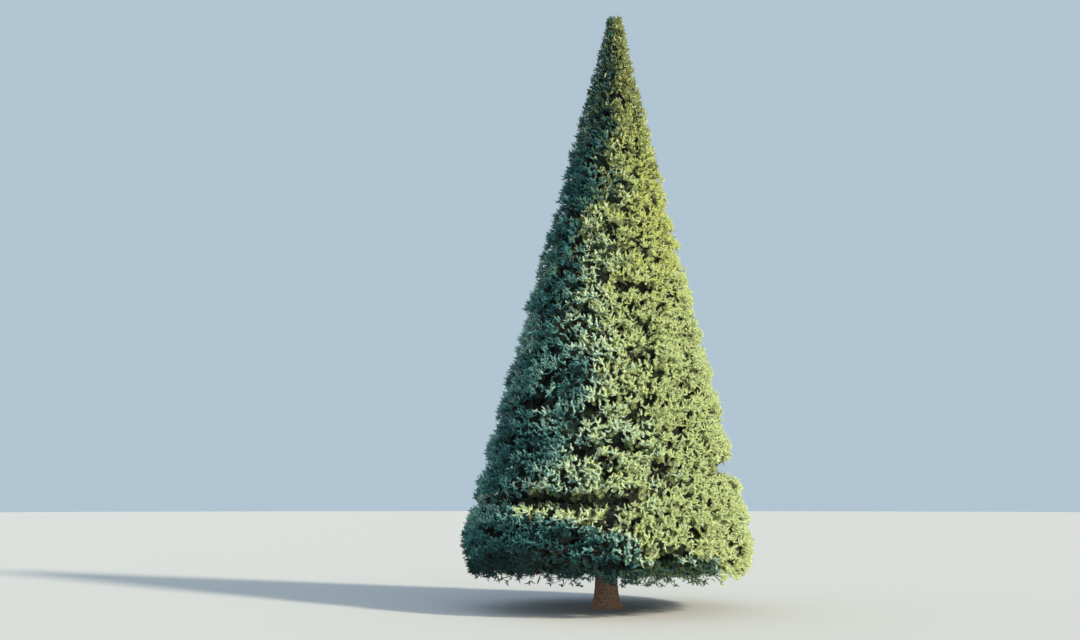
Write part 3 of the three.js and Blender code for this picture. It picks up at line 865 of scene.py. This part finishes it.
warmerTones = (("Blue", "Olive"), ("Silver", "Sage"), ("Sage", "Gold"), ("Gold", "Straw"), ("Pale", "Straw"))
shootPalette, clumpTone = dealPalettes()
shootKind = draw.integers(0, len(shoots), total)
shootAxes = turnedFrames(shootDir, draw.uniform(0, 2 * math.pi, total), shootSize)
shootGroup = np.array([mass["group"] for mass in masses])[clumps["mass"]][shootClump]
groupNodes = {}
for mass in masses:
    groupNodes.setdefault(mass["group"], []).append(mass["node"])
for group, nodes in groupNodes.items():
    parts = []
    for kind, shape in enumerate(shoots):
        chosen = (shootGroup == group) & (shootKind == kind)
        parts.append(copyShape(shape, shootFoot[chosen], shootAxes[chosen], shootPalette[chosen]))
    piece = makePiece(f"needles_{group}", *joined(parts), toneMaterials, "needles")
    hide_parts(*nodes)

# dark inner sprays behind the clumps, as painted shade, and older sprays between them and the shoots, in
# painted light and shade

nearSprays = {
    "share": 0.34,           # sprays for each clump
    "foldShare": 0.2,
    "hemShare": 0.35,
    "gapShare": 0.3,
    "depth": (0.17, 0.34),
    "hemDepth": 0.5,
}
deepSprays = {
    "share": 0.24,
    "foldShare": 0.1,
    "hemShare": 0.85,
    "gapShare": 0.9,
    "depth": (0.32, 0.55),
    "hemDepth": 1.3,
}
inner = {
    "hemFrom": 1.0,
    "hemSize": 0.7,
    "thinNear": 0.85,
    "tipGain": 3,
    "heights": (0.56, 8.7),
    "sunnyFrom": 0.65,
    "sunnyFold": 0.3,
    "cover": 0.07,
    "lowest": (0.49, 0.57),
}
under = {
    "share": 0.48,
    "depth": (0.03, 0.09),
    "outward": (0.0, 0.6),
    "cover": 0.015,
    "lowest": (0.43, 0.50),
    "middleFrom": 2.8,       # places along the range of tones from which they are lighter, as painted light
    "sunnyFrom": 4.4,
}


def settleSprays(form, centre, along, broad, size, cover, lowest):
    out = unit(centre * [1, 1, 0] - np.stack([axisX(centre[:, 2]), 0 * size, 0 * size], axis=-1))
    foot = centre - along * (0.5 * form["length"] * size)[:, None]
    over, low = np.zeros(len(size)), np.full(len(size), crown["height"])
    for share in (0.0, 0.5, 1.0):
        for side in (-0.75, 0.75):
            corner = foot + along * (share * form["length"] * size)[:, None]
            corner += broad * (side * form["reach"] * (1 - 0.5 * share) * size)[:, None]
            low = np.minimum(low, corner[:, 2])
            radius = np.hypot(corner[:, 0] - axisX(corner[:, 2]), corner[:, 1])
            over = np.maximum(over, radius + cover - crownLimit(corner[:, 2]))
    foot -= out * over[:, None]
    foot[:, 2] += np.maximum(draw.uniform(*lowest, len(size)) - low, 0)
    axes = np.stack([broad, np.cross(along, broad), along], axis=1) * size[:, None, None]
    return foot, axes, over


def growFans(form, sprays):
    nearHem = clumps["z"] < inner["hemFrom"]
    chance = sprays["share"] + sprays["foldShare"] * clumps["crease"] + sprays["hemShare"] * nearHem
    chance += sprays["gapShare"] * clumps["inGap"]
    chance *= np.clip(inner["thinNear"] / np.maximum(crownRadius(clumps["z"]), 0.1), 1, inner["tipGain"])
    owner = np.repeat(np.arange(clumpCount), (chance + draw.random(clumpCount)).astype(int))
    number = len(owner)
    angle = clumps["angle"][owner] + draw.normal(0, 0.05, number)
    z = np.clip(clumps["z"][owner] + draw.normal(0, 0.05, number), *inner["heights"])
    room = crownRadius(z)
    thin = np.clip(room / inner["thinNear"], 0.3, 1)
    deepest = np.where(nearHem[owner], sprays["hemDepth"], sprays["depth"][1])
    depth = clumps["depth"][owner] * 0.7 + draw.uniform(sprays["depth"][0], deepest) * thin
    centre = crownPoint(angle, room - np.minimum(depth, 0.75 * room), z)
    out = outFrom(angle)
    along = roundFrom(angle) * draw.normal(0, 0.9, (number, 1))
    along = along + [0.0, 0.0, 1.0] * draw.normal(0.25, 0.5, (number, 1))
    along = unit(along + out * draw.uniform(-0.1, 0.5, (number, 1)))
    broad = unit(np.cross(out + draw.normal(0, 0.35, (number, 3)), along))
    size = thin * draw.uniform(0.8, 1.15, number) * np.where(nearHem[owner], inner["hemSize"], 1)
    foot, axes, over = settleSprays(form, centre, along, broad, size, inner["cover"] * thin, inner["lowest"])
    keep = over < room - 0.05
    return foot[keep], axes[keep], owner[keep]


def growUnderSprays():
    owner = np.flatnonzero(~clumps["bare"] & (draw.random(clumpCount) < under["share"]))
    number = len(owner)
    angle = clumps["angle"][owner]
    out = outFrom(angle)
    centre = clumpPlace[owner] - clumpDir[owner] * draw.uniform(*under["depth"], (number, 1))
    turn = draw.uniform(0, 2 * math.pi, number)
    side = np.stack([-np.sin(angle) * np.cos(turn), np.cos(angle) * np.cos(turn), np.sin(turn)], axis=-1)
    along = unit(side + out * draw.uniform(*under["outward"], (number, 1)))
    broad = unit(np.cross(out + draw.normal(0, 0.3, (number, 3)), along))
    size = draw.uniform(0.8, 1.2, number) * np.clip(0.5 + 0.5 * crownRadius(centre[:, 2]) / 0.8, 0.5, 1)
    foot, axes, over = settleSprays(underSpray, centre, along, broad, size, under["cover"], under["lowest"])
    return foot, axes, owner


fanFoot, fanAxes, fanClump = growFans(fan, nearSprays)
# painted sunlight: inner sprays facing the sun are less dark
fanTowards = np.cos(clumps["angle"][fanClump] - math.radians(dealing["sunTurn"]))
fanSunny = fanTowards + draw.normal(0, 0.25, len(fanFoot)) > inner["sunnyFrom"]
fanSunny &= clumps["crease"][fanClump] < inner["sunnyFold"]
fanPalette = np.where(fanSunny, tone["needleInnerSunny"], tone["needleInner"])[:, None]
broadFoot, broadAxes, broadClump = growFans(broadFan, deepSprays)
broadPalette = np.full((len(broadFoot), 1), tone["needleInner"])
underFoot, underAxes, underClump = growUnderSprays()
# painted light and shade: each older spray takes a shaded, middle or sunlit copy by its clump's place
underPlace = clumpTone[underClump] + draw.normal(0, 0.5, len(underFoot))
underTones = [tone["needleUnder"], tone["needleUnderMiddle"], tone["needleUnderSunny"]]
underStep = (underPlace > under["middleFrom"]).astype(int) + (underPlace > under["sunnyFrom"])
underPalette = np.choose(underStep, underTones)[:, None]
for level, tier in enumerate(tiers):
    nodes = tierNodes(level)
    parts = []
    for shapes, foot, axes, owner, palette in ((fans, fanFoot, fanAxes, fanClump, fanPalette),
                                               (broadFans, broadFoot, broadAxes, broadClump, broadPalette),
                                               (underSprays, underFoot, underAxes, underClump, underPalette)):
        kinds = draw.integers(0, len(shapes), len(foot))
        for kind, shape in enumerate(shapes):
            chosen = (clumpLevel[owner] == level) & (kinds == kind)
            parts.append(copyShape(shape, foot[chosen], axes[chosen], palette[chosen]))
    piece = makePiece(f"inner_sprays_{tier[0]}", *joined(parts), toneMaterials[:5], "needles")
    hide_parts(*nodes)
print("inner sprays:", len(fanFoot), len(broadFoot), "older sprays:", len(underFoot))

# branches from each mass's bough or stem to its lumps, and twigs from the branches to the clumps

branchTube, twigTube = tubeShape(5, 4), tubeShape(3, 1)
spines = np.stack([mass["spine"] for mass in masses])
lumpRadius = crownRadius(lumpZ)
lumpRadius = lumpRadius - lumpRecess - np.minimum(0.3, 0.55 * lumpRadius)
lumpPlace = crownPoint(lumpAngle, np.maximum(lumpRadius, 0.02), lumpZ - 0.05)

twigForm = {
    "branchFrom": (0.45, 0.98),    # share of the bough or stem
    "branchRoot": (0.008, 0.018),  # radii
    "branchEnd": 0.006,
    "tipThin": 0.6,
    "root": 0.0055,
    "end": 0.003,
    "sag": 0.12,             # of a branch's length
    "bow": 0.03,
}


def growBranches():
    share = draw.uniform(*twigForm["branchFrom"], lumpCount)
    start = bendPoint(spines[lumpMass], share[:, None, None])[:, 0]
    atTip = lumpLevel == tipLevel
    start[atTip] = crownPoint(0.0, 0.0, np.clip(lumpZ[atTip] - 0.12, 0, 8.5))
    length = np.linalg.norm(lumpPlace - start, axis=-1)
    middle = (start + lumpPlace) / 2
    middle[:, 2] -= twigForm["sag"] * length
    radii = np.clip(0.010 + 0.006 * length, *twigForm["branchRoot"]) * np.where(atTip, twigForm["tipThin"], 1)
    return np.stack([start, middle, lumpPlace], axis=1), radii


branchCurves, branchRadii = growBranches()
twigStart, twigEnd = lumpPlace[clumps["lump"]][twigClump], clumpPlace[twigClump]
twigMiddle = 0.5 * (twigStart + twigEnd) - twigForm["bow"] * clumpDir[twigClump]
twigCurves = np.stack([twigStart, twigMiddle, twigEnd], axis=1)
twigLevel = clumpLevel[twigClump]
for level, tier in enumerate(tiers):
    nodes = tierNodes(level)
    branches, twigs = lumpLevel == level, twigLevel == level
    parts = [
        bendTubes(branchTube, branchCurves[branches], branchRadii[branches], twigForm["branchEnd"], 0),
        bendTubes(twigTube, twigCurves[twigs], twigForm["root"], twigForm["end"], 1),
    ]
    piece = makePiece(f"twigs_{tier[0]}", *joined(parts), twigMaterials, "bark")
    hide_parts(*nodes)
print("branches:", lumpCount, "twigs:", len(twigCurves))

# trunk and boughs with the bark's relief

trunk = {
    "radius": 0.165,
    "tipRadius": 0.012,
    "top": 8.56,
    "taperPower": 0.85,
    "flareHeight": 0.33,
    "flareFade": 3,
    "flareSpread": 0.55,
    "flareLobes": 5,
    "lobeDepth": 0.16,
    "sides": 80,
    "steps": 210,
    "crowding": 1.6,
    "relief": 0.006,
    "plateScale": 18.0,
}


def barkRelief(points, outwards, depth, plateScale):
    moved = points.copy()
    places = points * plateScale * [1, 1, bark["squeeze"]]
    for i, (place, out) in enumerate(zip(places, outwards)):
        place = Vector(place)
        distances = noise.voronoi(place)[0]
        plate = min(distances[1] - distances[0], bark["plateEdge"]) / bark["plateEdge"]
        grain = noise.noise(place * 5.0)
        moved[i] += out * depth * (plate - 0.6 + 0.3 * grain)
    return moved


def makeTrunk():
    points, faces, tones = tubeShape(trunk["sides"], trunk["steps"])
    turn = np.arctan2(points[:, 1], points[:, 0])
    ring = np.hypot(points[:, 0], points[:, 1])
    z = trunk["top"] * np.clip(points[:, 2], 0, 1) ** trunk["crowding"]
    flare = np.exp(-trunk["flareFade"] * z / trunk["flareHeight"])
    lobes = 1 + flare * (trunk["flareSpread"] + trunk["lobeDepth"] * np.cos(trunk["flareLobes"] * turn))
    taper = np.clip(1 - z / trunk["top"], 0, 1) ** trunk["taperPower"]
    radius = (trunk["tipRadius"] + (trunk["radius"] - trunk["tipRadius"]) * taper) * lobes * ring
    placed = crownPoint(turn, radius, z)
    fade = (np.clip(radius / 0.1, 0.15, 1) * ring)[:, None]
    return barkRelief(placed, outFrom(turn) * fade, trunk["relief"], trunk["plateScale"]), faces, tones


piece = makePiece("trunk_bark", *makeTrunk(), [spruceBark], "bark", smooth=True)
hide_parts("trunk")

bough = {
    "sides": 10,
    "steps": 34,
    "rootRadius": 0.05,
    "endRadius": 0.017,
    "fullAt": 1.3,           # boughs are thinner where the crown is narrower than this
    "relief": 0.004,
    "plateScale": 40.0,
}


def makeBoughs(level):
    shape = tubeShape(bough["sides"], bough["steps"])
    chosen = [mass for mass in masses if mass["level"] == level]
    curves = np.stack([mass["spine"] for mass in chosen])
    scale = min(1.0, 0.35 + 0.65 * float(crownRadius(lowEdges[level])) / bough["fullAt"])
    root, end = bough["rootRadius"] * scale, bough["endRadius"] * scale
    points, faces, slots = bendTubes(shape, curves, root, end, 0)
    thin = bendTubes(shape, curves, 1e-6, 1e-6, 0)[0]
    return barkRelief(points, unit(points - thin), bough["relief"] * scale, bough["plateScale"]), faces, slots


for level, tier in enumerate(tiers[:tipLevel]):
    piece = makePiece(f"boughs_{tier[0]}", *makeBoughs(level), [spruceBark], "bark", smooth=True)
    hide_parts(*[mass["bough"] or mass["node"] for mass in masses if mass["level"] == level])
print("trunk and boughs made")

# floor, light and camera

stageLook = {
    "floor": (0.37, 0.38, 0.40),
    "world": (0.66, 0.85, 1.0),
    "worldStrength": 0.62,
    "gamma": 1.09,
}

# colour, strength, turn from +X towards +Y, height and spread in degrees
lights = {
    "sun": ((1.0, 0.90, 0.66), 7.1, -34, 28, 6),
    "sky": ((0.72, 0.90, 1.0), 1.1, 155, 30, 100),
    "fill": ((1.0, 0.95, 0.78), 2.1, -62, 14, 90),
}

bpy.ops.mesh.primitive_circle_add(vertices=180, radius=160, fill_type="NGON", location=(0, 0, 0))
floor = bpy.context.object
floor.name = "floor"
floor.data.materials.append(plainMaterial("floorPaint", stageLook["floor"], 0.9))

world = bpy.data.worlds.new("studio")
world.use_nodes = True
background = world.node_tree.nodes["Background"]
background.inputs["Color"].default_value = (*stageLook["world"], 1)
background.inputs["Strength"].default_value = stageLook["worldStrength"]
bpy.context.scene.world = world
bpy.context.scene.view_settings.view_transform = "Standard"
bpy.context.scene.view_settings.gamma = stageLook["gamma"]


def makeLight(name, colour, strength, turn, height, spread):
    turn, height = math.radians(turn), math.radians(height)
    towards = Vector((math.cos(turn) * math.cos(height), math.sin(turn) * math.cos(height), math.sin(height)))
    light = bpy.data.objects.new(name, bpy.data.lights.new(name, "SUN"))
    light.data.color = colour
    light.data.energy = strength
    light.data.angle = math.radians(spread)
    light.rotation_euler = towards.to_track_quat("Z", "Y").to_euler()
    bpy.context.collection.objects.link(light)


for name, form in lights.items():
    makeLight(name, *form)

view = {"place": (-0.95, -16.85, 1.52), "pitch": 9.02, "lens": 38.0}
camera = bpy.data.objects.new("camera", bpy.data.cameras.new("camera"))
camera.location = view["place"]
camera.rotation_euler = (math.radians(90 + view["pitch"]), 0, 0)
camera.data.lens = view["lens"]
camera.data.sensor_width = 36.0
camera.data.clip_end = 200
bpy.context.collection.objects.link(camera)
bpy.context.scene.camera = camera
print("stage made")
